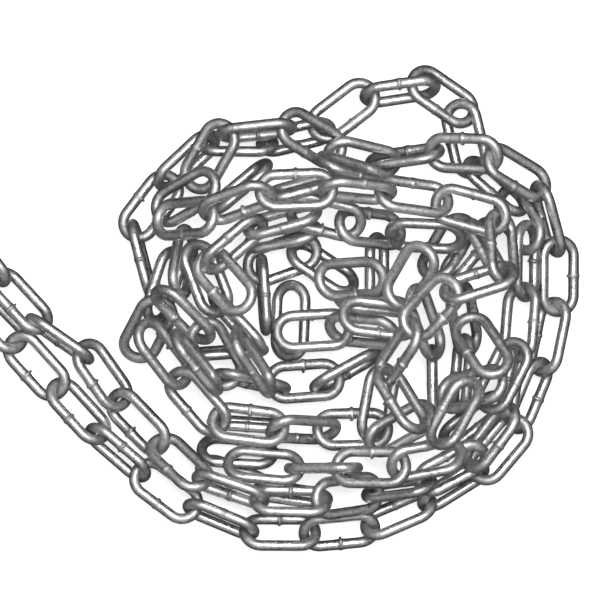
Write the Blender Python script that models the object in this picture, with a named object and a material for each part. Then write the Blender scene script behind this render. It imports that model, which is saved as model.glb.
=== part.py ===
"""A loose heap of galvanised, welded long-link steel chain, lying on a level floor.

Each strand of chain is drawn as a route: one row for each link, with the place of its
middle, the way it heads, how wide it looks from straight above and the layer it lies in.
The laying rule turns those rows into links that are threaded through their neighbours,
lie over what is below them and touch nothing else.
"""

import math

import bmesh
import bpy
import numpy as np
from mathutils import Matrix

# Driving dimensions of the chain, in millimetres.
WIRE = 6.0
LINK_LENGTH = 46.3
LINK_WIDTH = 24.4

# The wire's outline in this model: six flat sides, five steps round each bow.
WIRE_CORNER = 3.15
BOW_STEPS = 5

# The laying rule, in millimetres and degrees.
GRID = 0.561
TOUCH = 5.5
CLEAR = 6.8
SLACK = 2.5
SLIP = 7
STEEPEST = 0.5
LEAST_ROLL = 12
LEAST_OPENING = 50
LINKS_IN_A_NODE = 4

# The two links that lie free at the heap's tails are nodes of their own.
FREE_ENDS = {"outer_turn": "lower_free_end", "inner_turn": "upper_free_end"}

# Steel with a zinc coat.
ZINC = (0.55, 0.56, 0.57, 1.0)

BOW = (LINK_WIDTH - WIRE) / 2
HALF_STRAIGHT = LINK_LENGTH / 2 - WIRE / 2 - BOW
PITCH = LINK_LENGTH - 2 * WIRE

# One row a link: x and y of its middle in grid units with y down, heading in degrees
# towards the next link, the width it shows from above in grid units, and its layer.
STRANDS = {
    "outer_turn": [
        (-112, 262, 22, 43, 0),
        (-57, 284, 33, 22, 0),
        (-4, 317, 46, 36, 0),
        (38, 370, 43, 42, 0),
        (79, 411, 47, 34, 0),
        (118, 453, 40, 26, 0),
        (165, 490, 38, 43, 0),
        (216, 519, 30, 22, 0),
        (277.5, 534, 1, 39, 0),
        (339, 531, -1, 41, 0),
        (399, 518, -23, 30, 0),
        (454, 486, -31, 26, 0),
        (506, 451, -51, 43, 0),
        (529, 395, -68, 30, 0),
        (551, 338.5, -81, 38, 0),
        (561, 276, -90, 43, 0),
        (545, 217, -107, 20, 0),
        (518, 166, -152, 43, 2),
        (461, 157, -171, 43, 2),
        (402, 155, 176, 22, 2),
        (364, 160, -164, 37, 2),
        (312, 138, -148, 43, 2),
        (257, 133, 172, 20, 2),
        (209, 156, 117, 42, 1),
    ],
    "left_eye": [
        (164.5, 286, 108, 31, 0.4),
    ],
    "left_fold": [
        (166, 353, 49, 36, 1),
        (196.5, 402.5, 53, 43, 2),
        (249, 420, 8, 43, 1),
        (304, 431, 0, 26, 1),
        (357, 430, 12, 43, 1),
        (374, 401, -67, 37, 1),
    ],
    "middle_fold": [
        (344, 369, -208, 20, 1),
        (306, 380.5, -180, 43, 2),
        (250, 385, 176, 16, 1),
        (218, 350, -124, 43, 2),
        (184, 315, -133, 24, 2),
    ],
    "inner_turn": [
        (-54, 207, 58, 43, 0),
        (-18, 255, 50, 24, 0),
        (20, 300.5, 48, 35, 0),
        (60, 339, 35, 17, 0),
        (101, 374, 57, 38, 0),
        (138, 420, 42, 38, 0),
        (177, 461, 40, 36, 1),
        (230, 490.5, 18, 16, 1),
        (290, 501, 2, 28, 1),
        (348.5, 493, -15, 43, 1),
        (404, 491.5, -20, 18, 1),
        (451, 467, -26, 38, 1),
        (489, 437, -51, 25, 1),
        (513, 383, -75, 14, 0),
        (514, 320, -83, 36, 1),
        (527, 259, -92, 32, 1),
        (519, 215, -115, 38, 0),
        (496, 190, -138, 26, 0),
        (466, 137, -104, 43, 0),
        (443, 95.5, -144, 43, 0),
        (400, 92.5, -186, 24, 0),
        (343, 110, -216, 43, 0),
        (299, 137, -193, 24, -0.5),
        (236, 146, -184, 20, -1),
        (185, 158, 135, 24, -0.5),
        (153, 207, 131, 42, 0),
        (141, 259, 72, 13, 0),
    ],
    "left_loop": [
        (149, 329, 119, 43, 0.8),
    ],
    "cross": [
        (266, 295, -90, 13, 1),
        (281, 258, -18, 43, 1),
        (322.5, 268.5, 31, 32, 1),
    ],
    "cross_end": [
        (351, 279.5, -4, 43, 2),
    ],
    "slot": [
        (377, 273, 90, 24, 0.5),
    ],
    "heart": [
        (290, 321, -88, 38, 0.5),
    ],
    "core": [
        (313, 331, -2, 43, 1.5),
        (362, 331, 6, 36, 1.5),
    ],
    "knot": [
        (378, 318, 8, 40, 2),
    ],
    "under_knot": [
        (374, 304, 7, 22, 1),
    ],
    "lower_arc": [
        (262.5, 465, 5, 35, 2),
        (325, 467, 0, 14, 2),
        (370, 466, -2, 43, 2.5),
        (425, 458, -10, 40, 2),
    ],
    "under_arc": [
        (237, 452, 2, 33, 0.5),
    ],
    "lower_slant": [
        (234, 477, 17, 24, 0.2),
        (292, 496, 2, 13, 0.2),
    ],
    "fold_bar": [
        (248, 425, 6, 16, 0.5),
    ],
    "diamond": [
        (400, 428, -30, 35, 1.5),
    ],
    "right_side": [
        (501.5, 376, -59, 39, 2),
    ],
    "right_fork": [
        (479.5, 345, 57, 43, 3),
    ],
    "right_foot": [
        (452, 411, 119, 36, 2.5),
    ],
    "foot_loop": [
        (470, 388, -15, 38, 2.2),
    ],
    "foot_low": [
        (473, 420, -38, 28, -0.5),
    ],
    "fork_bar": [
        (463, 318, 78, 32, 2),
        (462, 374, 95, 22, 1.2),
    ],
    "post": [
        (432, 385, 90, 12, 1.2),
    ],
    "middle_left": [
        (240, 322, -124, 20, 1.8),
        (205, 279, -104, 38, 1.8),
    ],
    "left_post": [
        (184, 262, 98, 26, 1.5),
    ],
    "left_slant": [
        (198, 361, 52, 19, 2.1),
    ],
    "fold_slant": [
        (254, 362, 57, 22, 2),
    ],
    "ring_top": [
        (228, 352, -4, 14, 0.4),
    ],
    "small_ring": [
        (229, 279, -138, 43, 3),
        (230, 247, -36, 27, 3),
        (286, 223, -13, 25, 2.5),
        (323, 216.5, 17, 43, 2.5),
        (370, 228, 4, 43, 2.5),
        (425, 237, 2, 34, 2.5),
    ],
    "under_ring": [
        (283, 237, -11, 24, 1.8),
    ],
    "ring_end": [
        (447, 247, -60, 38, 2),
    ],
    "bridge": [
        (409.5, 276.5, 120, 43, 3),
    ],
    "bridge_foot": [
        (424, 322, 70, 30, 1.2),
    ],
    "right_cross": [
        (470, 250, -50, 24, 1.8),
    ],
    "right_bar": [
        (489, 253, 58, 22, 2.2),
    ],
    "left_bridge": [
        (187, 198, -32, 41, 3.5),
    ],
    "upper_left": [
        (240, 187, -40, 20, 1.8),
    ],
    "upper_middle": [
        (305, 189, -14, 22, 3),
    ],
    "upper_right": [
        (352, 170, 15, 22, 3),
    ],
    "top_arc": [
        (177, 220.5, 0, 43, 4),
        (242, 206, -28, 36, 4),
        (292, 187.5, 0, 43, 4),
        (357, 192.5, 5, 22, 4),
        (421, 198.5, 8, 38, 4),
        (468.5, 210, 10, 43, 4),
        (501, 250, 70, 25, 4),
        (478, 283, 174.5, 29, 4),
        (427, 306, 122, 43, 4),
        (391, 350, 137, 32, 4),
        (403, 401, 62.6, 31, 3.5),
    ],
}


def centreline(count):
    """Points spaced evenly round the middle of a link's wire: along the link, and across it."""
    total = 4 * HALF_STRAIGHT + 2 * math.pi * BOW
    points = []
    for index in range(count):
        s = (index + 0.5) * total / count
        side = -1
        if s > total / 2:
            s -= total / 2
            side = 1
        if s < 2 * HALF_STRAIGHT:
            points.append((side * (HALF_STRAIGHT - s), side * BOW))
        else:
            t = (s - 2 * HALF_STRAIGHT) / BOW
            points.append((side * (-HALF_STRAIGHT - BOW * math.sin(t)), side * BOW * math.cos(t)))
    return np.array(points)


def opening(first, second):
    """The angle between two link planes, the smaller way round, and which way widens it."""
    turned = (second - first) % 180
    return min(turned, 180 - turned), -1 if turned < 90 else 1


def rolls_of(strand):
    """Each link's turn about its own length, from its seen width, in turns to left and right."""
    rolls = []
    for index, row in enumerate(strand):
        share = (row[3] * GRID - WIRE) / (LINK_WIDTH - WIRE)
        angle = math.degrees(math.acos(min(max(share, 0), 1)))
        rolls.append(max(LEAST_ROLL, angle) * (1 if index % 2 else -1))
    for _ in range(60):
        for index in range(len(rolls) - 1):
            angle, way = opening(rolls[index], rolls[index + 1])
            if angle < LEAST_OPENING:
                rolls[index] += way * (LEAST_OPENING - angle) / 2
                rolls[index + 1] -= way * (LEAST_OPENING - angle) / 2
    return rolls


class Chain:
    """All links of the heap: where each one lies and which strand and node it belongs to."""

    def __init__(self, strands):
        rows = []
        self.strand = []
        self.node = []
        self.nodes = []
        for number, (name, strand) in enumerate(strands.items()):
            for (x, y, heading, _, layer), roll in zip(strand, rolls_of(strand)):
                rows.append((x * GRID, -y * GRID, -heading, roll, layer))
                self.strand.append(number)
            if name in FREE_ENDS:
                self.node.append(len(self.nodes))
                self.nodes.append(FREE_ENDS[name])
            rest = len(strand) - (name in FREE_ENDS)
            parts = max(1, round(rest / LINKS_IN_A_NODE))
            self.node += [len(self.nodes) + int((k + 0.5) * parts / rest) for k in range(rest)]
            self.nodes += [name if parts == 1 else f"{name}_{k + 1}" for k in range(parts)]
        rows = np.array(rows)
        self.count = len(rows)
        self.strand = np.array(self.strand)
        self.node = np.array(self.node)
        self.order = np.arange(self.count)
        self.rank = rows[:, 4] * 1000 + self.order
        self.plan = rows[:, :2]
        heading = np.radians(rows[:, 2])
        self.roll = np.radians(rows[:, 3])
        self.along = np.stack([np.cos(heading), np.sin(heading)], 1)
        self.across = np.stack([-np.sin(heading), np.cos(heading)], 1)
        self.follows = np.nonzero(self.strand[1:] == self.strand[:-1])[0]

    def crossings(self, line):
        """Every place where one link's wire passes over another's, seen from above."""
        wide = self.plan[:, None] + line[:, 0][None, :, None] * self.along[:, None]
        reach = line[:, 1][None] * np.cos(self.roll)[:, None]
        points = wide + reach[:, :, None] * self.across[:, None]
        found = []
        for upper in range(self.count):
            for lower in range(self.count):
                near = self.strand[upper] == self.strand[lower] and abs(upper - lower) <= 2
                if near or self.rank[upper] < self.rank[lower]:
                    continue
                if np.linalg.norm(self.plan[upper] - self.plan[lower]) > LINK_LENGTH + CLEAR:
                    continue
                square = ((points[upper][:, None] - points[lower][None]) ** 2).sum(2)
                over, under = np.nonzero(square < (0.72 * CLEAR) ** 2)
                rise = np.sqrt(CLEAR**2 - square[over, under])
                for a, b, up in zip(over, under, rise):
                    found.append((upper, a, lower, b, up))
        table = np.array(found)
        return [table[:, k].astype(int) for k in range(4)] + [table[:, 4]]

    def stack(self, line):
        """Heights for the joints between links, so that each wire clears what lies under it."""
        upper, a, lower, b, rise = self.crossings(line)
        start = self.order + self.strand
        end = start + 1
        lift = line[:, 1][None] * np.sin(self.roll)[:, None]
        share = 0.5 + line[:, 0] / PITCH
        height = np.zeros(end.max() + 1)

        def wires():
            return (1 - share) * height[start][:, None] + share * height[end][:, None] + lift

        for _ in range(600):
            z = wires()
            need = WIRE / 2 - z
            at = need.argmax(1)
            worst = need[self.order, at]
            gap = z[lower, b] + rise - z[upper, a]
            rising = np.argsort(gap)
            best = np.full(self.count, -1e9)
            best[upper[rising]] = gap[rising]
            best_at = np.zeros(self.count, int)
            best_at[upper[rising]] = a[rising]
            at = np.where(best > worst, best_at, at)
            worst = np.maximum(best, worst)
            if worst.max() < 0.02:
                break
            t = share[at]
            move = 0.6 * np.clip(worst, 0, 4) / ((1 - t) ** 2 + t**2)
            up = np.zeros(len(height))
            np.maximum.at(up, start, move * (1 - t))
            np.maximum.at(up, end, move * t)
            height += up
            self.limit_slope(height, start, end)
        for _ in range(240):
            z = wires()
            room = (z - WIRE / 2).min(1)
            np.minimum.at(room, upper, z[upper, a] - z[lower, b] - rise)
            down = np.full(len(height), 1e9)
            np.minimum.at(down, start, room)
            np.minimum.at(down, end, room)
            height -= 0.6 * np.clip(down, 0, 3)
            if down.max() < 0.05:
                break
        return height[start], height[end]

    def limit_slope(self, height, start, end):
        """Lifts the lower joint of a link that would lie steeper than the rule allows."""
        for _ in range(2):
            steep = np.abs(height[end] - height[start]) - STEEPEST * PITCH
            low = np.where(height[end] < height[start], end, start)
            np.maximum.at(height, low, height[low] + np.maximum(steep, 0) / 2)

    def place(self, low, high):
        """Turns the plan and the joint heights into middles and directions in space."""
        slope = np.clip((high - low) / PITCH, -0.75, 0.75)
        flat = np.sqrt(1 - slope**2)
        self.middle = np.concatenate([self.plan, ((low + high) / 2)[:, None]], 1)
        self.ahead = np.concatenate([self.along * flat[:, None], slope[:, None]], 1)
        level = np.concatenate([self.across, np.zeros((self.count, 1))], 1)
        upward = np.cross(self.ahead, level)
        self.aside = level * np.cos(self.roll)[:, None] + upward * np.sin(self.roll)[:, None]

    def turn(self, by):
        """Turns every link by its own small rotation vector."""
        angle = np.linalg.norm(by, axis=1, keepdims=True) + 1e-12
        axis = by / angle
        cos, sin = np.cos(angle), np.sin(angle)
        for name in ("ahead", "aside"):
            old = getattr(self, name)
            along = (axis * old).sum(1, keepdims=True)
            setattr(self, name, old * cos + np.cross(axis, old) * sin + axis * along * (1 - cos))

    def gather(self, rate):
        """Draws neighbouring links together where they lie too far apart, but lets them lie slack."""
        here, there = self.follows, self.follows + 1
        tip = self.ahead[here] * PITCH / 2
        tail = -self.ahead[there] * PITCH / 2
        gap = self.middle[there] + tail - self.middle[here] - tip
        way = self.ahead[here] + self.ahead[there]
        way /= np.linalg.norm(way, axis=1, keepdims=True) + 1e-9
        slid = np.clip(-(gap * way).sum(1, keepdims=True), 0, SLIP)
        gap = gap + way * slid
        far = np.linalg.norm(gap, axis=1, keepdims=True) + 1e-9
        pull = gap / far * np.maximum(far - SLACK, 0) * rate
        push = np.zeros((self.count, 3))
        whirl = np.zeros((self.count, 3))
        np.add.at(push, here, pull)
        np.add.at(push, there, -pull)
        np.add.at(whirl, here, np.cross(tip, pull) / 13**2)
        np.add.at(whirl, there, np.cross(tail, -pull) / 13**2)
        self.middle = self.middle + push
        self.turn(whirl)

    def spread(self, line, floor):
        """One step apart for wires that lie too close, and together for linked neighbours."""
        arms = line[:, 0][:, None] * self.ahead[:, None] + line[:, 1][:, None] * self.aside[:, None]
        points = self.middle[:, None] + arms
        between = np.linalg.norm(self.middle[:, None] - self.middle[None], axis=2)
        upper_half = self.order[:, None] < self.order[None]
        a, b = np.nonzero((between < LINK_LENGTH + CLEAR) & upper_half)
        lines = points[a][:, :, None] - points[b][:, None]
        square = (lines**2).sum(3).reshape(len(a), -1)
        nearest = square.argmin(1)
        rows = np.arange(len(a))
        near = np.sqrt(square[rows, nearest])
        way = lines.reshape(len(a), -1, 3)[rows, nearest] / near[:, None]
        joined = (b - a == 1) & (self.node[a] == self.node[b])
        off = np.where(joined, TOUCH, CLEAR) - near
        off = np.where(joined | (off > 0), off, 0)
        arm_a = arms[a, nearest // len(line)]
        arm_b = arms[b, nearest % len(line)]
        turn_a, turn_b = np.cross(arm_a, way), np.cross(arm_b, -way)
        ease_a, ease_b = self.eased(turn_a, a), self.eased(turn_b, b)
        stiff = 2 + (turn_a * ease_a).sum(1) + (turn_b * ease_b).sum(1)
        step = (0.7 * off / stiff)[:, None]
        push = np.zeros((self.count, 3))
        whirl = np.zeros((self.count, 3))
        np.add.at(push, a, way * step)
        np.add.at(push, b, -way * step)
        np.add.at(whirl, a, ease_a * step)
        np.add.at(whirl, b, ease_b * step)
        sunk = floor - points[:, :, 2]
        lowest = sunk.argmax(1)
        deep = np.maximum(sunk[self.order, lowest], 0)
        upright = np.array([0, 0, 1.0])
        tilt = np.cross(arms[self.order, lowest], upright)
        ease = self.eased(tilt, self.order)
        lift = (deep / (1 + (tilt * ease).sum(1)))[:, None]
        self.middle = self.middle + push + lift * upright
        self.turn(whirl + ease * lift)
        return max(np.abs(off).max(), deep.max())

    def eased(self, turns, links):
        """A link turns easily about its own length and less so end over end."""
        ahead = self.ahead[links]
        own = (turns * ahead).sum(1, keepdims=True) * ahead
        return own / 8**2 + (turns - own) / 13**2

    def lay(self):
        """The whole laying rule, from the plan to links lying clear of each other."""
        line = centreline(36)
        low, high = self.stack(line)
        self.place(low, high)
        for _ in range(80):
            self.gather(0.25)
        for samples, steps, goal in ((36, 260, 0.15), (72, 60, 0.1)):
            line = centreline(samples)
            for _ in range(steps):
                self.gather(0.15)
                if self.spread(line, WIRE_CORNER + 0.1) < goal:
                    break


def new_link():
    """One link at the origin: a closed route for the wire, swept with six sides."""
    curve = bpy.data.curves.new("link_route", "CURVE")
    curve.dimensions = "3D"
    curve.twist_mode = "Z_UP"
    curve.bevel_depth = WIRE_CORNER
    curve.bevel_resolution = 1
    wire = curve.splines.new("POLY")
    wire.use_cyclic_u = True
    wire.points.add(2 * BOW_STEPS + 1)
    step = math.pi / BOW_STEPS
    reach = BOW * (1 + 1 / math.cos(step / 2)) / 2
    for index, point in enumerate(wire.points):
        side = 1 if index <= BOW_STEPS else -1
        t = -math.pi / 2 + step * (index % (BOW_STEPS + 1))
        point.co = (side * (HALF_STRAIGHT + reach * math.cos(t)), side * reach * math.sin(t), 0, 1)
    route = bpy.data.objects.new("link_route", curve)
    bpy.context.scene.collection.objects.link(route)
    bpy.context.view_layer.update()
    graph = bpy.context.evaluated_depsgraph_get()
    mesh = bpy.data.meshes.new_from_object(route.evaluated_get(graph))
    bpy.data.objects.remove(route)
    shape = bmesh.new()
    shape.from_mesh(mesh)
    bmesh.ops.remove_doubles(shape, verts=shape.verts, dist=0.001)
    bmesh.ops.recalc_face_normals(shape, faces=shape.faces)
    shape.to_mesh(mesh)
    shape.free()
    return mesh


def placed(mesh, name, middle, ahead, aside, drop):
    """A copy of the link, turned and moved to its place, in metres."""
    normal = np.cross(ahead, aside)
    matrix = np.identity(4)
    matrix[:3, 0] = ahead * 0.001
    matrix[:3, 1] = aside * 0.001
    matrix[:3, 2] = normal * 0.001
    matrix[:3, 3] = (middle - drop) * 0.001
    copy = mesh.copy()
    shape = bmesh.new()
    shape.from_mesh(copy)
    bmesh.ops.transform(shape, matrix=Matrix(matrix.tolist()), verts=shape.verts)
    shape.to_mesh(copy)
    shape.free()
    link = bpy.data.objects.new(name, copy)
    bpy.context.scene.collection.objects.link(link)
    return link


def fused(name, links):
    """Neighbouring links made one body where they touch, as one node."""
    body = links[0]
    for other in links[1:]:
        union = body.modifiers.new("union", "BOOLEAN")
        union.operation = "UNION"
        union.solver = "EXACT"
        union.object = other
        bpy.context.view_layer.update()
        graph = bpy.context.evaluated_depsgraph_get()
        mesh = bpy.data.meshes.new_from_object(body.evaluated_get(graph))
        body.modifiers.clear()
        body.data = mesh
        bpy.data.objects.remove(other)
    body.name = name
    body.data.name = name
    return body


def zinc_coated(name):
    """The node's own material: steel with a zinc coat."""
    material = bpy.data.materials.new(name + "_zinc")
    material.use_nodes = True
    shader = material.node_tree.nodes["Principled BSDF"]
    shader.inputs["Base Color"].default_value = ZINC
    shader.inputs["Metallic"].default_value = 1.0
    shader.inputs["Roughness"].default_value = 0.42
    return material


for old in list(bpy.data.objects):
    bpy.data.objects.remove(old)

chain = Chain(STRANDS)
chain.lay()

# The heap's middle goes to the origin and its lowest wire to the floor.
link_mesh = new_link()
corners = np.array([vertex.co for vertex in link_mesh.vertices])
everywhere = (
    chain.middle[:, None]
    + corners[:, 0][None, :, None] * chain.ahead[:, None]
    + corners[:, 1][None, :, None] * chain.aside[:, None]
    + corners[:, 2][None, :, None] * np.cross(chain.ahead, chain.aside)[:, None]
).reshape(-1, 3)
least, most = everywhere.min(0), everywhere.max(0)
origin = np.array([(least[0] + most[0]) / 2, (least[1] + most[1]) / 2, least[2]])

for number, node_name in enumerate(chain.nodes):
    members = np.nonzero(chain.node == number)[0]
    members = [
        placed(link_mesh, f"link_{k}", chain.middle[k], chain.ahead[k], chain.aside[k], origin)
        for k in members
    ]
    node = fused(node_name, members)
    node.data.materials.clear()
    node.data.materials.append(zinc_coated(node_name))

bpy.data.meshes.remove(link_mesh)
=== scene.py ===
# %% [markdown]
# # A heap of galvanised chain
# A few metres of long-link steel chain lie on the floor as they were dropped: one outer turn,
# strands thrown inside and over it, and the tails running off to the left.
# Every link is the same piece, a bent and welded ring of zinc-coated wire. The work is in two
# parts: laying some 120 rings so that each one hangs in its neighbours and rests on what is
# under it, and giving the zinc its satin, slightly mottled look.

# %% Load the frame
import math
import random
from types import SimpleNamespace

import bmesh
import bpy
import numpy as np
from mathutils import Matrix, Vector


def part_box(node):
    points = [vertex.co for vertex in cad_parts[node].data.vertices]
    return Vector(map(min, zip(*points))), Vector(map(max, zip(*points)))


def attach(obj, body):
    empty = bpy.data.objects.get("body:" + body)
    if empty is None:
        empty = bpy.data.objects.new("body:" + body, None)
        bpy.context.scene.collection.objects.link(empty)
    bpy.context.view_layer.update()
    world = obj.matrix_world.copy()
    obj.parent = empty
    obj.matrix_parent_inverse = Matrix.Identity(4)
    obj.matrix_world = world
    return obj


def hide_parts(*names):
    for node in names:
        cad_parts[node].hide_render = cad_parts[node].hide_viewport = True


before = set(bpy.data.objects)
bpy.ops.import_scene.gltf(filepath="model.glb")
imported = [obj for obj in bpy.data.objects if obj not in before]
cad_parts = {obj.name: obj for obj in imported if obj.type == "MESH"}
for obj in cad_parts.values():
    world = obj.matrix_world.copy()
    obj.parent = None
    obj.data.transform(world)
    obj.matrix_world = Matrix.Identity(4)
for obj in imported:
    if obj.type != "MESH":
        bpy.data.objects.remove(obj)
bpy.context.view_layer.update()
print(len(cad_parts), "runs of chain in the frame")

# %% [markdown]
# ## The chain's own sizes
# Commercial chain is named by its wire. This one is 6 mm wire with long links, and everything
# else about a link follows: the bow at each end is a half circle, two straight sides join the
# bows, and pulled taut the links repeat every length less two wires. All sizes here are in
# millimetres, as they are in the solid model, and become metres when a link is put in place.

# %% Link sizes
WIRE = 6.0
LINK_LENGTH = 46.3
LINK_WIDTH = 24.4
BOW = (LINK_WIDTH - WIRE) / 2
HALF_STRAIGHT = LINK_LENGTH / 2 - WIRE / 2 - BOW
PITCH = LINK_LENGTH - 2 * WIRE
print(f"bow radius {BOW:.1f} mm, straight {2 * HALF_STRAIGHT:.1f} mm, pitch {PITCH:.1f} mm")

# %% [markdown]
# ## The route of each strand
# The heap is drawn as a plan, like a knitting chart. One row stands for one link: x and y of
# its middle on a grid of 0.561 mm with y down, the way it heads towards the next link in
# degrees, the width that it shows from straight above, and the layer that it lies in. A link
# that shows its full width lies flat, and one that shows little more than its wire stands on
# edge. These are the same rows as in the solid model, because both must lie in the same place.

# %% Route
GRID = 0.561
STRANDS = {
    "outer_turn": [
        (-112, 262, 22, 43, 0), (-57, 284, 33, 22, 0), (-4, 317, 46, 36, 0), (38, 370, 43, 42, 0),
        (79, 411, 47, 34, 0), (118, 453, 40, 26, 0), (165, 490, 38, 43, 0), (216, 519, 30, 22, 0),
        (277.5, 534, 1, 39, 0), (339, 531, -1, 41, 0), (399, 518, -23, 30, 0),
        (454, 486, -31, 26, 0), (506, 451, -51, 43, 0), (529, 395, -68, 30, 0),
        (551, 338.5, -81, 38, 0), (561, 276, -90, 43, 0), (545, 217, -107, 20, 0),
        (518, 166, -152, 43, 2), (461, 157, -171, 43, 2), (402, 155, 176, 22, 2),
        (364, 160, -164, 37, 2), (312, 138, -148, 43, 2), (257, 133, 172, 20, 2),
        (209, 156, 117, 42, 1),
    ],
    "left_eye": [
        (164.5, 286, 108, 31, 0.4),
    ],
    "left_fold": [
        (166, 353, 49, 36, 1), (196.5, 402.5, 53, 43, 2), (249, 420, 8, 43, 1),
        (304, 431, 0, 26, 1), (357, 430, 12, 43, 1), (374, 401, -67, 37, 1),
    ],
    "middle_fold": [
        (344, 369, -208, 20, 1), (306, 380.5, -180, 43, 2), (250, 385, 176, 16, 1),
        (218, 350, -124, 43, 2), (184, 315, -133, 24, 2),
    ],
    "inner_turn": [
        (-54, 207, 58, 43, 0), (-18, 255, 50, 24, 0), (20, 300.5, 48, 35, 0), (60, 339, 35, 17, 0),
        (101, 374, 57, 38, 0), (138, 420, 42, 38, 0), (177, 461, 40, 36, 1),
        (230, 490.5, 18, 16, 1), (290, 501, 2, 28, 1), (348.5, 493, -15, 43, 1),
        (404, 491.5, -20, 18, 1), (451, 467, -26, 38, 1), (489, 437, -51, 25, 1),
        (513, 383, -75, 14, 0), (514, 320, -83, 36, 1), (527, 259, -92, 32, 1),
        (519, 215, -115, 38, 0), (496, 190, -138, 26, 0), (466, 137, -104, 43, 0),
        (443, 95.5, -144, 43, 0), (400, 92.5, -186, 24, 0), (343, 110, -216, 43, 0),
        (299, 137, -193, 24, -0.5), (236, 146, -184, 20, -1), (185, 158, 135, 24, -0.5),
        (153, 207, 131, 42, 0), (141, 259, 72, 13, 0),
    ],
    "left_loop": [
        (149, 329, 119, 43, 0.8),
    ],
    "cross": [
        (266, 295, -90, 13, 1), (281, 258, -18, 43, 1), (322.5, 268.5, 31, 32, 1),
    ],
    "cross_end": [
        (351, 279.5, -4, 43, 2),
    ],
    "slot": [
        (377, 273, 90, 24, 0.5),
    ],
    "heart": [
        (290, 321, -88, 38, 0.5),
    ],
    "core": [
        (313, 331, -2, 43, 1.5), (362, 331, 6, 36, 1.5),
    ],
    "knot": [
        (378, 318, 8, 40, 2),
    ],
    "under_knot": [
        (374, 304, 7, 22, 1),
    ],
    "lower_arc": [
        (262.5, 465, 5, 35, 2), (325, 467, 0, 14, 2), (370, 466, -2, 43, 2.5),
        (425, 458, -10, 40, 2),
    ],
    "under_arc": [
        (237, 452, 2, 33, 0.5),
    ],
    "lower_slant": [
        (234, 477, 17, 24, 0.2), (292, 496, 2, 13, 0.2),
    ],
    "fold_bar": [
        (248, 425, 6, 16, 0.5),
    ],
    "diamond": [
        (400, 428, -30, 35, 1.5),
    ],
    "right_side": [
        (501.5, 376, -59, 39, 2),
    ],
    "right_fork": [
        (479.5, 345, 57, 43, 3),
    ],
    "right_foot": [
        (452, 411, 119, 36, 2.5),
    ],
    "foot_loop": [
        (470, 388, -15, 38, 2.2),
    ],
    "foot_low": [
        (473, 420, -38, 28, -0.5),
    ],
    "fork_bar": [
        (463, 318, 78, 32, 2), (462, 374, 95, 22, 1.2),
    ],
    "post": [
        (432, 385, 90, 12, 1.2),
    ],
    "middle_left": [
        (240, 322, -124, 20, 1.8), (205, 279, -104, 38, 1.8),
    ],
    "left_post": [
        (184, 262, 98, 26, 1.5),
    ],
    "left_slant": [
        (198, 361, 52, 19, 2.1),
    ],
    "fold_slant": [
        (254, 362, 57, 22, 2),
    ],
    "ring_top": [
        (228, 352, -4, 14, 0.4),
    ],
    "small_ring": [
        (229, 279, -138, 43, 3), (230, 247, -36, 27, 3), (286, 223, -13, 25, 2.5),
        (323, 216.5, 17, 43, 2.5), (370, 228, 4, 43, 2.5), (425, 237, 2, 34, 2.5),
    ],
    "under_ring": [
        (283, 237, -11, 24, 1.8),
    ],
    "ring_end": [
        (447, 247, -60, 38, 2),
    ],
    "bridge": [
        (409.5, 276.5, 120, 43, 3),
    ],
    "bridge_foot": [
        (424, 322, 70, 30, 1.2),
    ],
    "right_cross": [
        (470, 250, -50, 24, 1.8),
    ],
    "right_bar": [
        (489, 253, 58, 22, 2.2),
    ],
    "left_bridge": [
        (187, 198, -32, 41, 3.5),
    ],
    "upper_left": [
        (240, 187, -40, 20, 1.8),
    ],
    "upper_middle": [
        (305, 189, -14, 22, 3),
    ],
    "upper_right": [
        (352, 170, 15, 22, 3),
    ],
    "top_arc": [
        (177, 220.5, 0, 43, 4), (242, 206, -28, 36, 4), (292, 187.5, 0, 43, 4),
        (357, 192.5, 5, 22, 4), (421, 198.5, 8, 38, 4), (468.5, 210, 10, 43, 4),
        (501, 250, 70, 25, 4), (478, 283, 174.5, 29, 4), (427, 306, 122, 43, 4),
        (391, 350, 137, 32, 4), (403, 401, 62.6, 31, 3.5),
    ],
}
FREE_ENDS = {"outer_turn": "lower_free_end", "inner_turn": "upper_free_end"}
LINKS_IN_A_NODE = 4
print(sum(len(strand) for strand in STRANDS.values()), "links in", len(STRANDS), "strands")

# %% [markdown]
# ## How far each link is rolled
# The seen width gives a link's roll about its own length, but not whether it leans left or
# right. In any chain neighbours lean opposite ways, so the sign alternates. Two neighbours
# can't lie in nearly the same plane either, since their bows would run through each other,
# so planes that are too close are opened a little at a time until each pair has room.

# %% Roll of the links
LEAST_ROLL = 12
LEAST_OPENING = 50


def opening(first, second):
    """The angle between two link planes, the smaller way round, and which way widens it."""
    turned = (second - first) % 180
    return min(turned, 180 - turned), -1 if turned < 90 else 1


def rolls_of(strand):
    rolls = []
    for index, row in enumerate(strand):
        share = (row[3] * GRID - WIRE) / (LINK_WIDTH - WIRE)
        angle = math.degrees(math.acos(min(max(share, 0), 1)))
        rolls.append(max(LEAST_ROLL, angle) * (1 if index % 2 else -1))
    for _ in range(60):
        for index in range(len(rolls) - 1):
            angle, way = opening(rolls[index], rolls[index + 1])
            if angle < LEAST_OPENING:
                rolls[index] += way * (LEAST_OPENING - angle) / 2
                rolls[index + 1] -= way * (LEAST_OPENING - angle) / 2
    return rolls


print("rolls along the lower arc:", [round(roll) for roll in rolls_of(STRANDS["lower_arc"])])

# %% [markdown]
# ## The heap as arrays
# Over a hundred links and thousands of places where wires pass each other are too many for
# plain Python loops, so the links are kept as rows of numpy arrays and every rule below
# moves all of them at once. A run of up to four links is one node of the solid model.

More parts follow.
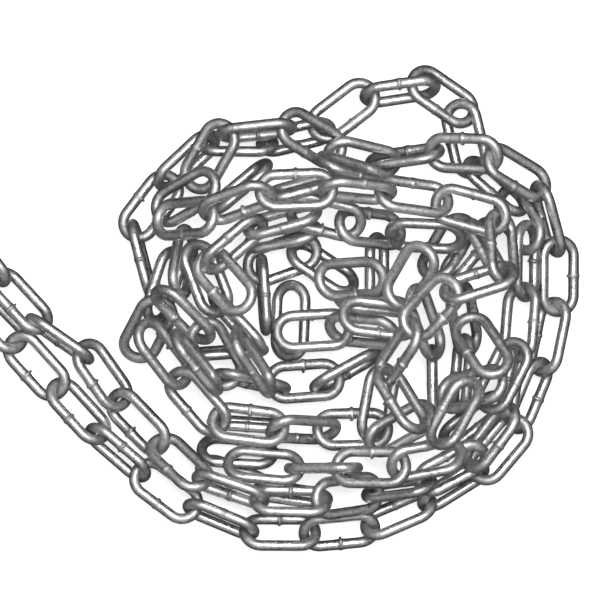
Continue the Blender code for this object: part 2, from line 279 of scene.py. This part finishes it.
# %% Links as arrays
def heap_from(strands):
    rows, strand_of, node_of, nodes = [], [], [], []
    for number, (name, strand) in enumerate(strands.items()):
        for (x, y, heading, _, layer), roll in zip(strand, rolls_of(strand)):
            rows.append((x * GRID, -y * GRID, -heading, roll, layer))
            strand_of.append(number)
        if name in FREE_ENDS:
            node_of.append(len(nodes))
            nodes.append(FREE_ENDS[name])
        rest = len(strand) - (name in FREE_ENDS)
        parts = max(1, round(rest / LINKS_IN_A_NODE))
        node_of += [len(nodes) + int((k + 0.5) * parts / rest) for k in range(rest)]
        nodes += [name if parts == 1 else f"{name}_{k + 1}" for k in range(parts)]
    rows = np.array(rows)
    heading, roll = np.radians(rows[:, 2]), np.radians(rows[:, 3])
    heap = SimpleNamespace(count=len(rows), nodes=nodes, plan=rows[:, :2], roll=roll)
    heap.strand, heap.node = np.array(strand_of), np.array(node_of)
    heap.order = np.arange(heap.count)
    heap.rank = rows[:, 4] * 1000 + heap.order
    heap.along = np.stack([np.cos(heading), np.sin(heading)], 1)
    heap.across = np.stack([-np.sin(heading), np.cos(heading)], 1)
    heap.follows = np.nonzero(heap.strand[1:] == heap.strand[:-1])[0]
    return heap


heap = heap_from(STRANDS)
print(heap.count, "links,", len(heap.nodes), "nodes")

# %% [markdown]
# ## Points along a link's wire
# Whether two links touch depends only on how near the middles of their wires come. A few
# dozen points spaced evenly round the long ring stand for the wire in all the rules below.

# %% Centreline of a link
def centreline(count):
    total = 4 * HALF_STRAIGHT + 2 * math.pi * BOW
    points = []
    for index in range(count):
        s = (index + 0.5) * total / count
        side = -1
        if s > total / 2:
            s -= total / 2
            side = 1
        if s < 2 * HALF_STRAIGHT:
            points.append((side * (HALF_STRAIGHT - s), side * BOW))
        else:
            t = (s - 2 * HALF_STRAIGHT) / BOW
            points.append((side * (-HALF_STRAIGHT - BOW * math.sin(t)), side * BOW * math.cos(t)))
    return np.array(points)


print("first point", centreline(36)[0].round(1))

# %% [markdown]
# ## What passes over what
# Seen from above, wires cross in hundreds of places. At each one the link with the higher
# layer, or the later place in its strand, is the upper one, and it has to clear the lower
# wire by the gap given here. Links next to each other, or next but one, share their joints,
# so they are left out.

# %% Crossings
CLEAR = 6.8


def crossings(heap, line):
    wide = heap.plan[:, None] + line[:, 0][None, :, None] * heap.along[:, None]
    reach = line[:, 1][None] * np.cos(heap.roll)[:, None]
    points = wide + reach[:, :, None] * heap.across[:, None]
    found = []
    for upper in range(heap.count):
        for lower in range(heap.count):
            near = heap.strand[upper] == heap.strand[lower] and abs(upper - lower) <= 2
            if near or heap.rank[upper] < heap.rank[lower]:
                continue
            if np.linalg.norm(heap.plan[upper] - heap.plan[lower]) > LINK_LENGTH + CLEAR:
                continue
            square = ((points[upper][:, None] - points[lower][None]) ** 2).sum(2)
            over, under = np.nonzero(square < (0.72 * CLEAR) ** 2)
            rise = np.sqrt(CLEAR**2 - square[over, under])
            for a, b, up in zip(over, under, rise):
                found.append((upper, a, lower, b, up))
    table = np.array(found)
    return [table[:, k].astype(int) for k in range(4)] + [table[:, 4]]


print(len(crossings(heap, centreline(36))[0]), "places where one wire passes over another")

# %% [markdown]
# ## Stacking the strands
# A chain bends only at its joints, so its height is given joint by joint and each link is a
# straight ramp between two of them. Joints are raised wherever a wire would lie in the floor
# or in a wire below it, more for the joint that is nearer to the fault, and never so much
# that a link gets steeper than loose chain lies. Then everything is let down again as far as
# it will go, so that nothing hovers.

# %% Heights of the joints
STEEPEST = 0.5


def limit_slope(height, start, end):
    for _ in range(2):
        steep = np.abs(height[end] - height[start]) - STEEPEST * PITCH
        low = np.where(height[end] < height[start], end, start)
        np.maximum.at(height, low, height[low] + np.maximum(steep, 0) / 2)


def stack(heap, line):
    upper, a, lower, b, rise = crossings(heap, line)
    start = heap.order + heap.strand
    end = start + 1
    lift = line[:, 1][None] * np.sin(heap.roll)[:, None]
    share = 0.5 + line[:, 0] / PITCH
    height = np.zeros(end.max() + 1)

    def wires():
        return (1 - share) * height[start][:, None] + share * height[end][:, None] + lift

    for _ in range(600):
        z = wires()
        need = WIRE / 2 - z
        at = need.argmax(1)
        worst = need[heap.order, at]
        gap = z[lower, b] + rise - z[upper, a]
        rising = np.argsort(gap)
        best = np.full(heap.count, -1e9)
        best[upper[rising]] = gap[rising]
        best_at = np.zeros(heap.count, int)
        best_at[upper[rising]] = a[rising]
        at = np.where(best > worst, best_at, at)
        worst = np.maximum(best, worst)
        if worst.max() < 0.02:
            break
        t = share[at]
        move = 0.6 * np.clip(worst, 0, 4) / ((1 - t) ** 2 + t**2)
        up = np.zeros(len(height))
        np.maximum.at(up, start, move * (1 - t))
        np.maximum.at(up, end, move * t)
        height += up
        limit_slope(height, start, end)
    for _ in range(240):
        z = wires()
        room = (z - WIRE / 2).min(1)
        np.minimum.at(room, upper, z[upper, a] - z[lower, b] - rise)
        down = np.full(len(height), 1e9)
        np.minimum.at(down, start, room)
        np.minimum.at(down, end, room)
        height -= 0.6 * np.clip(down, 0, 3)
        if down.max() < 0.05:
            break
    return height[start], height[end]


# %% [markdown]
# ## From plan and heights to space
# Each link gets a middle and two directions: ahead, along its length and up its ramp, and
# aside, across its opening and rolled about its length. Those three say exactly where it is.

# %% Place and turn the links
def place(heap, low, high):
    slope = np.clip((high - low) / PITCH, -0.75, 0.75)
    flat = np.sqrt(1 - slope**2)
    heap.middle = np.concatenate([heap.plan, ((low + high) / 2)[:, None]], 1)
    heap.ahead = np.concatenate([heap.along * flat[:, None], slope[:, None]], 1)
    level = np.concatenate([heap.across, np.zeros((heap.count, 1))], 1)
    upward = np.cross(heap.ahead, level)
    heap.aside = level * np.cos(heap.roll)[:, None] + upward * np.sin(heap.roll)[:, None]


def turn(heap, by):
    """Turns every link by its own small rotation vector."""
    angle = np.linalg.norm(by, axis=1, keepdims=True) + 1e-12
    axis = by / angle
    cos, sin = np.cos(angle), np.sin(angle)
    for name in ("ahead", "aside"):
        old = getattr(heap, name)
        along = (axis * old).sum(1, keepdims=True)
        setattr(heap, name, old * cos + np.cross(axis, old) * sin + axis * along * (1 - cos))


# %% [markdown]
# ## Easing the links
# The plan's links are drawn one by one, so some neighbours start a few millimetres too far apart
# to hang in each other and some wires start too close. Two gentle rules share the difference out:
# one draws the ends of neighbours together, the other moves and turns any two links whose
# wires come too near. Chain that lies slack overlaps more than chain under load, so the first
# rule leaves an overlap along the chain alone up to a limit. A link turns easily about its own
# length and less so end over end: the two sizes are how far out its weight sits in each case.

# %% Draw neighbours together
END_OVER_END = 13
OWN_LENGTH = 8
SLACK = 2.5
SLIP = 7


def gather(heap, rate):
    here, there = heap.follows, heap.follows + 1
    tip = heap.ahead[here] * PITCH / 2
    tail = -heap.ahead[there] * PITCH / 2
    gap = heap.middle[there] + tail - heap.middle[here] - tip
    way = heap.ahead[here] + heap.ahead[there]
    way /= np.linalg.norm(way, axis=1, keepdims=True) + 1e-9
    slid = np.clip(-(gap * way).sum(1, keepdims=True), 0, SLIP)
    gap = gap + way * slid
    far = np.linalg.norm(gap, axis=1, keepdims=True) + 1e-9
    pull = gap / far * np.maximum(far - SLACK, 0) * rate
    push = np.zeros((heap.count, 3))
    whirl = np.zeros((heap.count, 3))
    np.add.at(push, here, pull)
    np.add.at(push, there, -pull)
    np.add.at(whirl, here, np.cross(tip, pull) / END_OVER_END**2)
    np.add.at(whirl, there, np.cross(tail, -pull) / END_OVER_END**2)
    heap.middle = heap.middle + push
    turn(heap, whirl)


# %% Move wires apart
TOUCH = 5.5


def eased(heap, turns, links):
    ahead = heap.ahead[links]
    own = (turns * ahead).sum(1, keepdims=True) * ahead
    return own / OWN_LENGTH**2 + (turns - own) / END_OVER_END**2


def spread(heap, line, floor):
    arms = line[:, 0][:, None] * heap.ahead[:, None] + line[:, 1][:, None] * heap.aside[:, None]
    points = heap.middle[:, None] + arms
    between = np.linalg.norm(heap.middle[:, None] - heap.middle[None], axis=2)
    upper_half = heap.order[:, None] < heap.order[None]
    a, b = np.nonzero((between < LINK_LENGTH + CLEAR) & upper_half)
    lines = points[a][:, :, None] - points[b][:, None]
    square = (lines**2).sum(3).reshape(len(a), -1)
    nearest = square.argmin(1)
    rows = np.arange(len(a))
    near = np.sqrt(square[rows, nearest])
    way = lines.reshape(len(a), -1, 3)[rows, nearest] / near[:, None]
    joined = (b - a == 1) & (heap.node[a] == heap.node[b])
    off = np.where(joined, TOUCH, CLEAR) - near
    off = np.where(joined | (off > 0), off, 0)
    arm_a = arms[a, nearest // len(line)]
    arm_b = arms[b, nearest % len(line)]
    turn_a, turn_b = np.cross(arm_a, way), np.cross(arm_b, -way)
    ease_a, ease_b = eased(heap, turn_a, a), eased(heap, turn_b, b)
    stiff = 2 + (turn_a * ease_a).sum(1) + (turn_b * ease_b).sum(1)
    step = (0.7 * off / stiff)[:, None]
    push = np.zeros((heap.count, 3))
    whirl = np.zeros((heap.count, 3))
    np.add.at(push, a, way * step)
    np.add.at(push, b, -way * step)
    np.add.at(whirl, a, ease_a * step)
    np.add.at(whirl, b, ease_b * step)
    sunk = floor - points[:, :, 2]
    lowest = sunk.argmax(1)
    deep = np.maximum(sunk[heap.order, lowest], 0)
    upright = np.array([0, 0, 1.0])
    tilt = np.cross(arms[heap.order, lowest], upright)
    ease = eased(heap, tilt, heap.order)
    lift = (deep / (1 + (tilt * ease).sum(1)))[:, None]
    heap.middle = heap.middle + push + lift * upright
    turn(heap, whirl + ease * lift)
    return max(np.abs(off).max(), deep.max())


# %% Lay the heap
WIRE_CORNER = 3.15


def lay(heap):
    low, high = stack(heap, centreline(36))
    place(heap, low, high)
    for _ in range(80):
        gather(heap, 0.25)
    for samples, steps, goal in ((36, 260, 0.15), (72, 60, 0.1)):
        line = centreline(samples)
        for _ in range(steps):
            gather(heap, 0.15)
            left = spread(heap, line, WIRE_CORNER + 0.1)
            if left < goal:
                break
    return left


print(f"the last fault left after easing is {lay(heap):.2f} mm")

# %% [markdown]
# ## Where the heap sits
# The solid model moves the whole heap so that the middle of its box is at the origin. A node
# that is a single link shows how far: a link is the same both ways round its middle, so the
# middle of its box is its own middle. The other single links show whether the laying came out
# the same here as it did in the solid model.

# %% Move into the frame
def lone_links(heap):
    sizes = np.bincount(heap.node)
    return [int(k) for k in heap.order if sizes[heap.node[k]] == 1]


def box_middle(node):
    low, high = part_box(node)
    return (np.array(low) + np.array(high)) / 2 * 1000


lone = lone_links(heap)
moves = np.array([box_middle(heap.nodes[heap.node[k]]) - heap.middle[k] for k in lone])
heap.middle = heap.middle + moves.mean(0)
spread_of_moves = np.ptp(moves, 0).max()
print(f"moved by {moves.mean(0).round(2)} mm; single links agree to {spread_of_moves:.3f} mm")

# %% [markdown]
# ## One link, bent and welded
# A chain machine cuts the wire, bends it round so that its two ends meet in the middle of one
# straight side, and welds them by pressing them together red hot. The wire swells there, and
# a thin ragged fin of squeezed-out steel is left, standing furthest into the link. The model
# is made the same way: a circle is pulled along the straight and spun round each bow until it
# meets itself again.

# %% Wire tools
WIRE_SIDES = 20
BOW_STEPS = 16


def pull(shape, edges, by, radius):
    """Draws the open end of the wire to a new ring, some way on and with its own radius."""
    made = bmesh.ops.extrude_edge_only(shape, edges=edges)["geom"]
    ring = [part for part in made if isinstance(part, bmesh.types.BMVert)]
    bmesh.ops.translate(shape, vec=by, verts=ring)
    middle = sum((vert.co for vert in ring), Vector()) / len(ring)
    size = radius / (ring[0].co - middle).length
    bmesh.ops.scale(shape, vec=(size, size, size), space=Matrix.Translation(-middle), verts=ring)
    return ring_edges(shape, ring)


def ring_edges(shape, ring):
    ends = set(ring)
    found = {edge for vert in ring for edge in vert.link_edges}
    return [edge for edge in found if ends.issuperset(edge.verts)]


def bend(shape, edges, centre):
    """Spins the open end of the wire half round a bow."""
    ring = list({vert for edge in edges for vert in edge.verts})
    made = bmesh.ops.spin(
        shape, geom=ring + edges, cent=centre, axis=(0, 0, 1), dvec=(0, 0, 0),
        angle=math.pi, steps=BOW_STEPS, use_merge=False, use_duplicate=False,
    )["geom_last"]
    return ring_edges(shape, [part for part in made if isinstance(part, bmesh.types.BMVert)])


# %% Weld profile
WELD = ((0.0, 0.30), (0.5, 0.28), (0.4, 0.22), (0.7, 0.14), (1.0, 0.05), (1.6, 0.0))
FIN = 1.5
FIN_HALF_WIDTH = 0.6


def raise_fin(vert, swell, seed):
    """Draws the squeezed-out fin up from the weld, highest on the side inside the link."""
    outward = Vector((0, vert.co.y + BOW, vert.co.z)).normalized()
    ragged = 0.75 + 0.25 * math.sin(5 * math.atan2(outward.z, outward.y) + seed)
    inner = max(0, outward.y) ** 3 * FIN
    outer = max(0, -outward.y) ** 2 * 0.45
    vert.co += outward * (swell * ragged * (inner + outer + 0.12))


# %% Bend one link
def bent_link(swell, seed):
    """A whole link at the origin in millimetres, with its weld on the side towards -Y."""
    shape = bmesh.new()
    radius = WIRE / 2
    upright = Matrix.Rotation(math.radians(90), 4, "Y")
    bmesh.ops.create_circle(
        shape, segments=WIRE_SIDES, radius=radius + WELD[0][1] * swell,
        matrix=Matrix.Translation((0, -BOW, 0)) @ upright)
    edges = list(shape.edges)
    reach = 0
    for step, extra in WELD[1:]:
        edges = pull(shape, edges, (step, 0, 0), radius + extra * swell)
        reach += step
    edges = pull(shape, edges, (HALF_STRAIGHT - reach, 0, 0), radius)
    edges = bend(shape, edges, (HALF_STRAIGHT, 0, 0))
    for _ in range(4):
        edges = pull(shape, edges, (-HALF_STRAIGHT / 2, 0, 0), radius)
    edges = bend(shape, edges, (-HALF_STRAIGHT, 0, 0))
    edges = pull(shape, edges, (HALF_STRAIGHT - reach, 0, 0), radius)
    for (step, _), (_, extra) in zip(WELD[:0:-1], WELD[-2::-1]):
        edges = pull(shape, edges, (step, 0, 0), radius + extra * swell)
    bmesh.ops.remove_doubles(shape, verts=shape.verts, dist=0.01)
    for vert in shape.verts:
        if vert.co.y < 0 and abs(vert.co.x) < FIN_HALF_WIDTH:
            raise_fin(vert, swell, seed)
    bmesh.ops.recalc_face_normals(shape, faces=shape.faces)
    return shape


# %% [markdown]
# ## Marks that the finish reads
# The zinc isn't the same all over a link. It is rough and dull where the weld was. Each bow is
# rougher all round, and most of all on its inner side, where links rub and dip water stays.
# Its colour is also darkened all round the bow and most on the inner side, which is painted
# shade for the crevice where the next link hangs and for a bow that catches no highlight, with
# some real wear in it. A link also differs a little from the next. Three numbers stored on the
# mesh tell the material where it is.

# %% Marks on the mesh
def mark_link(shape):
    weld = shape.verts.layers.float.new("weld")
    bow = shape.verts.layers.float.new("bow")
    shape.verts.layers.float.new("tone")
    for vert in shape.verts:
        x, y = abs(vert.co.x), vert.co.y
        vert[weld] = math.exp(-((x / 1.5) ** 2)) if y < 0 else 0
        # bow mark: painted shade, rising towards each bow tip and most on its inner side where the
        # next link sits, with some real rubbing in it
        beyond = max(0, x - HALF_STRAIGHT)
        inner = BOW - math.hypot(beyond, y)
        rubbed_and_shaded = min(1, max(0, inner / (WIRE / 2) + 0.3))
        vert[bow] = (0.6 + 0.4 * rubbed_and_shaded) * min(1, beyond / 4)


def link_mesh(name, swell, seed):
    shape = bent_link(swell, seed)
    mark_link(shape)
    mesh = bpy.data.meshes.new(name)
    shape.to_mesh(mesh)
    shape.free()
    return mesh


KINDS = [(0.35, 0.3), (0.7, 1.9), (0.95, 3.1), (1.1, 4.4), (0.5, 5.2)]
link_kinds = [link_mesh(f"link_kind_{k}", swell, seed) for k, (swell, seed) in enumerate(KINDS)]
faces = len(link_kinds[0].polygons)
print(f"one link has {faces} faces, {2 * faces * heap.count} triangles for the heap")

# %% [markdown]
# ## Runs of links
# Every node of the solid model is replaced by one mesh with the same links, so the heap keeps
# its named runs. The links of a run hang loose in each other and are only stored together.
# Each one gets one of a few welds, on one side or the other, and its own tone. A burr that
# would reach into the floor is pressed flat on it.

# %% Join the links of each node
chance = random.Random(6)


def link_matrix(k):
    """Puts a link made at the origin in millimetres where link k lies, in metres."""
    side = chance.choice((-1, 1))
    aside = Vector(heap.aside[k]) * side
    ahead = Vector(heap.ahead[k])
    turned = Matrix((ahead, aside, ahead.cross(aside))).transposed()
    return Matrix.Translation(heap.middle[k] / 1000) @ (turned * 0.001).to_4x4()


def chain_run(number, name):
    run = bmesh.new()
    for k in np.nonzero(heap.node == number)[0]:
        first = len(run.verts)
        run.from_mesh(chance.choice(link_kinds))
        run.verts.ensure_lookup_table()
        added = run.verts[first:]
        bmesh.ops.transform(run, matrix=link_matrix(int(k)), verts=added)
        for vert in added:
            vert.co.z = max(vert.co.z, 0)
        tone = run.verts.layers.float["tone"]
        shade = chance.uniform(0, 1)
        for vert in added:
            vert[tone] = shade
    for face in run.faces:
        face.smooth = True
    mesh = bpy.data.meshes.new("chain_" + name)
    run.to_mesh(mesh)
    run.free()
    piece = bpy.data.objects.new("chain_" + name, mesh)
    bpy.context.scene.collection.objects.link(piece)
    return piece


runs = []
for number, name in enumerate(heap.nodes):
    piece = chain_run(number, name)
    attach(piece, "root")
    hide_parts(name)
    runs.append(piece)
for mesh in link_kinds:
    bpy.data.meshes.remove(mesh)
print(len(runs), "runs of chain laid")

# %% [markdown]
# ## Writing a finish as sums
# A finish is arithmetic on patterns: noise times a stain, plus a tone. Joining nodes by hand
# hides that, so a small class stands for one output of a node and lets the usual signs work
# on it. Every other node comes from one helper that sets what it is told.

# %% A socket that does sums
class Value:
    def __init__(self, tree, socket):
        self.tree = tree
        self.socket = socket

    def math(self, kind, other):
        return node(self.tree, "ShaderNodeMath", {"operation": kind}, {0: self, 1: other})

    def __add__(self, other):
        return self.math("ADD", other)

    def __sub__(self, other):
        return self.math("SUBTRACT", other)

    def __mul__(self, other):
        return self.math("MULTIPLY", other)

    __radd__ = __add__
    __rmul__ = __mul__


def node(tree, kind, settings=None, inputs=None, output=0):
    made = tree.nodes.new(kind)
    for name, value in (settings or {}).items():
        setattr(made, name, value)
    for name, value in (inputs or {}).items():
        if isinstance(value, Value):
            tree.links.new(value.socket, made.inputs[name])
        else:
            made.inputs[name].default_value = value
    return Value(tree, made.outputs[output])


def between(value, low, high):
    """0 where the value is under low, 1 where it is over high, and a ramp from one to the other."""
    inputs = {"Value": value, "From Min": low, "From Max": high}
    return node(value.tree, "ShaderNodeMapRange", {"clamp": True}, inputs)


# %% [markdown]
# ## Zinc
# Hot-dip zinc is a soft, slightly bluish grey. It is a metal all over, so its look is mostly
# what it mirrors: a bright ridge along the top of each wire and dark flanks. What keeps it
# from looking like chrome is a medium roughness that changes from patch to patch, a faint
# orange-peel surface, small flat crystals of slightly different grey, and dull, patchy bows
# whose darker colour is painted shade with some real wear in it.

# %% Galvanised finish
def galvanised(name):
    material = bpy.data.materials.new(name)
    material.use_nodes = True
    tree = material.node_tree
    shader = tree.nodes["Principled BSDF"]
    where = node(tree, "ShaderNodeTexCoord", output="Object")

    def noise(scale, detail=2.0):
        inputs = {"Vector": where, "Scale": scale, "Detail": detail}
        return node(tree, "ShaderNodeTexNoise", inputs=inputs)

    def mark(name):
        settings = {"attribute_name": name}
        return node(tree, "ShaderNodeAttribute", settings, output="Fac")

    cells = {"Vector": where, "Scale": 420.0}
    crystal = node(tree, "ShaderNodeTexVoronoi", inputs=cells, output="Color")
    crystal = node(tree, "ShaderNodeSeparateColor", inputs={"Color": crystal})
    patches = between(noise(70.0), 0.35, 0.65)
    weld, bow, tone = mark("weld"), mark("bow"), mark("tone")
    bow_patchiness = between(noise(160.0, 4.0), 0.40, 0.62) * 0.5 + 0.5
    dull_and_shaded = bow * bow_patchiness
    grain = noise(620.0, 3.0) - 0.5
    bright = 0.49 + 0.10 * tone + 0.10 * patches + 0.06 * crystal + 0.45 * grain
    # the bows are painted darker here as shade, with some real wear in it; the weld is really
    # darker
    bright = bright - 0.24 * dull_and_shaded - 0.16 * weld
    channels = {"Red": bright * 0.985, "Green": bright, "Blue": bright * 1.015}
    tint = node(tree, "ShaderNodeCombineColor", inputs=channels)
    rough = 0.27 + 0.08 * patches + 0.07 * crystal + 0.35 * grain + 0.30 * dull_and_shaded + 0.22 * weld
    peel = noise(900.0, 3.0) * 0.6 + noise(260.0) * 0.4
    relief = {"Strength": 0.55, "Distance": 0.0005, "Height": peel}
    bump = node(tree, "ShaderNodeBump", inputs=relief)
    tree.links.new(tint.socket, shader.inputs["Base Color"])
    tree.links.new(rough.socket, shader.inputs["Roughness"])
    tree.links.new(bump.socket, shader.inputs["Normal"])
    shader.inputs["Metallic"].default_value = 1.0
    return material


zinc = galvanised("hot_dip_zinc")
for piece in runs:
    piece.data.materials.append(zinc)
print("finish on", len(runs), "runs")

# %% [markdown]
# ## Floor and light
# The photo was taken from straight above with a broad soft light near the lens, and its
# ground has come out white. Metal shows its surroundings, so these are made for it: bright
# overhead, dim towards the horizon. That is what puts a light ridge on each wire and leaves
# its flanks dark. The floor stays out of the mirror image for the same reason.

# %% Floor
FLOOR_GLOW = 0.65


def pale_floor():
    shape = bmesh.new()
    bmesh.ops.create_grid(shape, x_segments=1, y_segments=1, size=6.0)
    mesh = bpy.data.meshes.new("floor")
    shape.to_mesh(mesh)
    shape.free()
    floor = bpy.data.objects.new("floor", mesh)
    bpy.context.scene.collection.objects.link(floor)
    material = bpy.data.materials.new("pale_floor")
    material.use_nodes = True
    shader = material.node_tree.nodes["Principled BSDF"]
    shader.inputs["Base Color"].default_value = (0.85, 0.85, 0.85, 1)
    shader.inputs["Roughness"].default_value = 0.9
    shader.inputs["Specular IOR Level"].default_value = 0.1
    shader.inputs["Emission Color"].default_value = (1, 1, 1, 1)
    shader.inputs["Emission Strength"].default_value = FLOOR_GLOW
    mesh.materials.append(material)
    floor.visible_glossy = False
    floor.visible_diffuse = False
    return floor


floor = pale_floor()

# %% Sky
SKY_STOPS = (
    (0.0, 0.03), (0.50, 0.04), (0.64, 0.22), (0.80, 0.43),
    (0.92, 0.52), (0.965, 0.62), (0.985, 1.1), (1.0, 1.9),
)
HAZE = 0.9


def sky():
    world = bpy.data.worlds.new("studio")
    bpy.context.scene.world = world
    world.use_nodes = True
    tree = world.node_tree
    tree.nodes.clear()
    look = node(tree, "ShaderNodeTexCoord", output="Generated")
    height = node(tree, "ShaderNodeSeparateXYZ", inputs={"Vector": look}, output="Z")
    height = height * 0.5 + 0.5
    ramp = tree.nodes.new("ShaderNodeValToRGB")
    ramp.color_ramp.interpolation = "B_SPLINE"
    stops = ramp.color_ramp.elements
    while len(stops) < len(SKY_STOPS):
        stops.new(0.5)
    for stop, (place_on_ramp, level) in zip(stops, SKY_STOPS):
        stop.position = place_on_ramp
        stop.color = (level, level, level, 1)
    tree.links.new(height.socket, ramp.inputs["Fac"])
    glow = Value(tree, ramp.outputs["Color"])
    mirrored = node(tree, "ShaderNodeBackground", inputs={"Color": glow})
    seen = node(tree, "ShaderNodeBackground", inputs={"Color": (HAZE, HAZE, HAZE, 1)})
    camera_ray = node(tree, "ShaderNodeLightPath", output="Is Camera Ray")
    both = node(tree, "ShaderNodeMixShader", inputs={0: camera_ray, 1: mirrored, 2: seen})
    out = tree.nodes.new("ShaderNodeOutputWorld")
    tree.links.new(both.socket, out.inputs["Surface"])


sky()


# %% Lamp
def soft_lamp(name, place_at, size, power):
    lamp = bpy.data.lights.new(name, "AREA")
    lamp.shape = "DISK"
    lamp.size = size
    lamp.energy = power
    made = bpy.data.objects.new(name, lamp)
    made.location = place_at
    made.rotation_euler = (-Vector(place_at)).to_track_quat("-Z", "Y").to_euler()
    bpy.context.scene.collection.objects.link(made)


soft_lamp("over_the_lens", (0.15, 0.25, 1.6), 0.6, 19)

# %% [markdown]
# ## Camera
# It looks straight down from three metres with a long lens, so links high in the heap show
# hardly any larger than those on the floor, as in the photo. The lens is set so that 600 grid
# units of the route span the picture's width on a plane a little above the floor.

# %% Camera over the heap
PICTURE = 600
CAMERA_HEIGHT = 3.0
MEAN_HEIGHT = 0.012


def camera_above():
    move = moves.mean(0)
    x = (PICTURE / 2 * GRID + move[0]) / 1000
    y = (-PICTURE / 2 * GRID + move[1]) / 1000
    lens = bpy.data.cameras.new("camera")
    across = PICTURE * GRID / 1000
    lens.lens = lens.sensor_width * (CAMERA_HEIGHT - MEAN_HEIGHT) / across
    camera = bpy.data.objects.new("camera", lens)
    camera.location = (x, y, CAMERA_HEIGHT)
    bpy.context.scene.collection.objects.link(camera)
    bpy.context.scene.camera = camera
    return camera


camera = camera_above()
bpy.context.scene.view_settings.view_transform = "Standard"
print(f"lens {camera.data.lens:.0f} mm at {camera.location.z} m")
